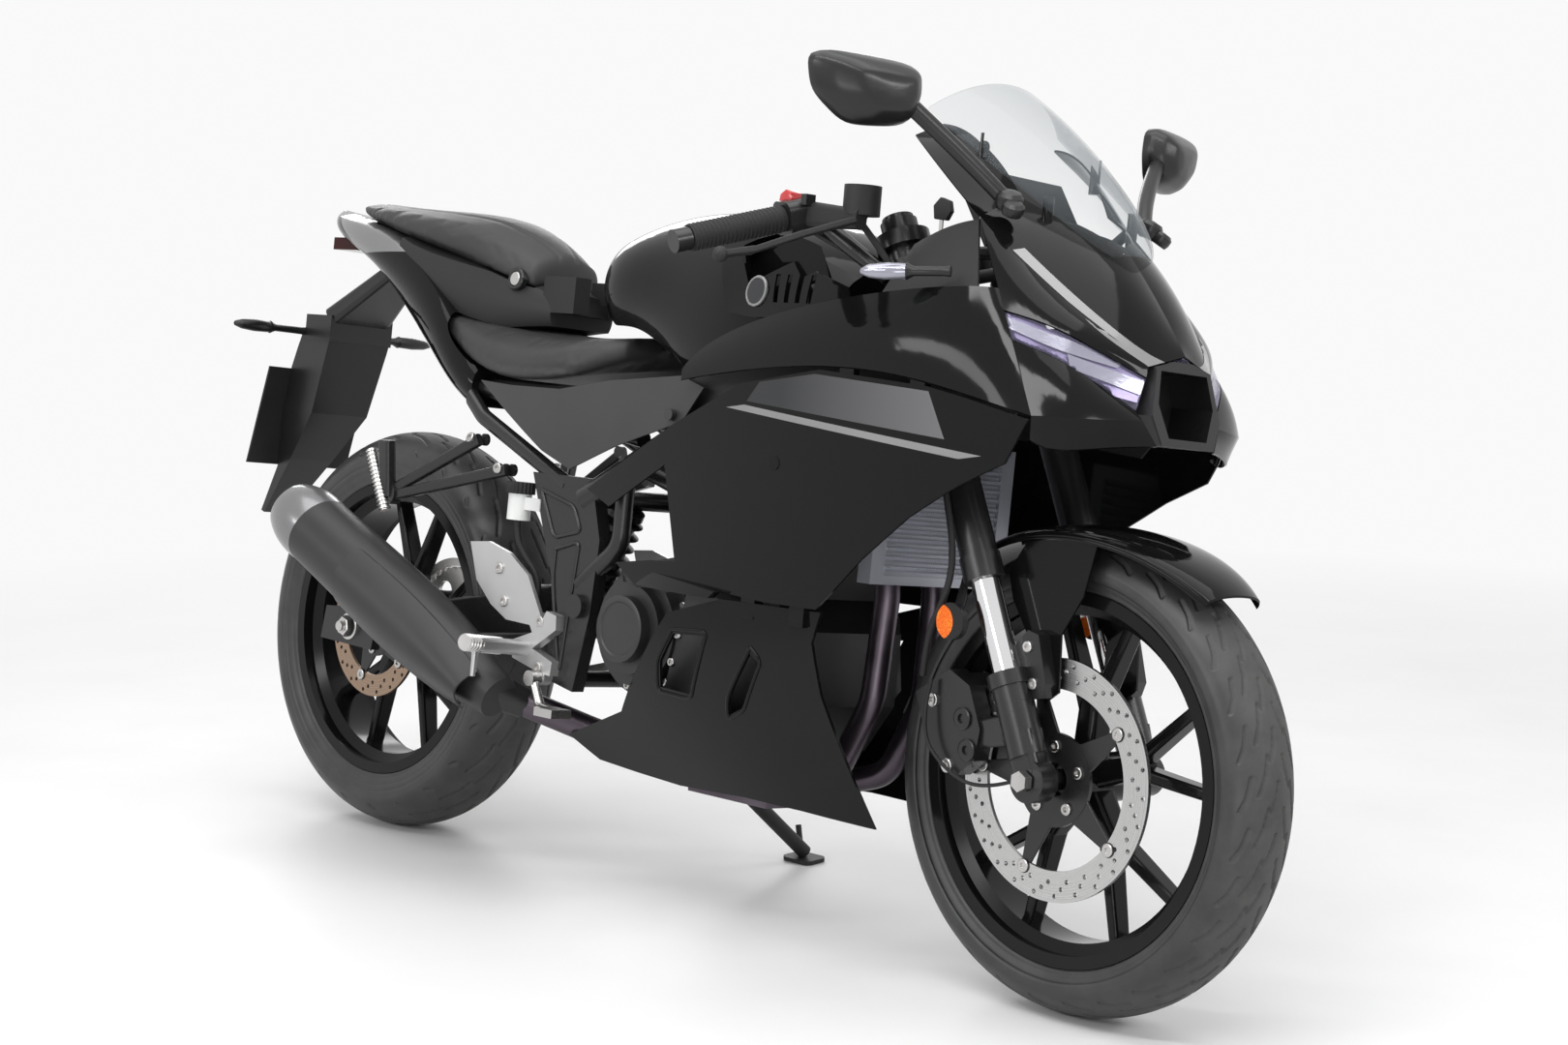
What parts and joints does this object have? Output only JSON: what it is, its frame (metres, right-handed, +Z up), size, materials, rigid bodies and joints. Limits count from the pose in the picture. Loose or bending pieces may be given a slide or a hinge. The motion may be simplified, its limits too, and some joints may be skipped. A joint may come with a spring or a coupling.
{
  "type": "sport motorcycle on its side stand",
  "caption": "Fully faired sport motorcycle parked on its side stand, with turning wheels, steering and a folding stand.",
  "frame": {"origin": "on the floor, below the middle of the parked machine's bounding box", "axes": "+X forwards along the wheelbase, +Y to the rider's left, +Z up from the floor"},
  "size_m": [2.0905, 0.771, 1.1779],
  "materials": {
    "gloss_black": "gloss",
    "matte_black": "matte",
    "black_metal": "satin",
    "dark_engine": "satin",
    "aluminium": "satin",
    "steel": "brushed",
    "chrome": "polished",
    "rubber": "matte",
    "tyre": "matte",
    "seat": "matte",
    "screen": "clear",
    "lamp": "clear",
    "orange": "gloss",
    "red": "gloss"
  },
  "bodies": {
    "chassis": {"chain": "black_metal", "dashboard": "matte_black", "engine": "dark_engine", "engine_covers": "dark_engine", "exhaust_headers": "dark_engine", "fluid_reservoir": "matte_black", "frame_cross_tubes": "black_metal", "frame_left": "black_metal", "frame_right": "black_metal", "front_cowl": "gloss_black", "fuel_tank": "gloss_black", "headlights": "lamp", "heat_shield": "matte_black", "indicators": "matte_black", "inner_trims": "matte_black", "licence_plate": "matte_black", "lower_fairing_left": "gloss_black", "lower_fairing_right": "gloss_black", "mirrors": "matte_black", "muffler": "matte_black", "muffler_cap": "aluminium", "nose_duct": "matte_black", "pedals": "aluminium", "pillion_seat": "seat", "pillion_steps": "black_metal", "radiator": "aluminium", "rear_fender": "matte_black", "rear_pins": "steel", "rider_seat": "seat", "rider_steps": "aluminium", "seat_base": "matte_black", "shock": "black_metal", "side_covers": "matte_black", "side_fairing_left": "gloss_black", "side_fairing_right": "gloss_black", "swingarm": "black_metal", "tail_cowl": "gloss_black", "tail_light": "red", "tank_covers": "gloss_black", "windscreen": "screen"},
    "steering": {"fork_outers": "black_metal", "fork_inners": "chrome", "handlebars": "black_metal", "grips": "rubber", "levers": "black_metal", "reflectors": "orange", "upper_clamp": "black_metal", "lower_clamp": "black_metal", "front_axle": "steel", "front_fender": "gloss_black", "front_caliper": "black_metal", "fork_feet": "black_metal"},
    "front_wheel": {"front_tyre": "tyre", "front_rim": "black_metal", "front_brake_disc": "steel", "front_disc_carrier": "black_metal"},
    "rear_wheel": {"rear_tyre": "tyre", "rear_rim": "black_metal", "rear_brake_disc": "steel", "rear_sprocket": "steel", "rear_disc_carrier": "black_metal"},
    "side_stand_leg": {"side_stand": "black_metal"}
  },
  "joints": [
    {"name": "steering_turn", "type": "hinge", "parent": "chassis", "child": "steering", "pos_m": [0.44972, -0.0242, 0.8462], "axis": [-0.4226, 0.1261, 0.8975], "range_deg": [-30.6, 37.4]},
    {"name": "front_wheel_spin", "type": "hinge", "parent": "steering", "child": "front_wheel", "pos_m": [0.75264, -0.10442, 0.29147], "axis": [0.0537, 0.992, -0.1141], "continuous": true},
    {"name": "rear_wheel_spin", "type": "hinge", "parent": "chassis", "child": "rear_wheel", "pos_m": [-0.6273, -0.09928, 0.31199], "axis": [0, 0.9903, -0.1392], "continuous": true},
    {"name": "side_stand_fold", "type": "hinge", "parent": "chassis", "child": "side_stand_leg", "pos_m": [-0.0253, 0.00394, 0.19852], "axis": [0, 0.9903, -0.1392], "range_deg": [0, 88]}
  ]
}
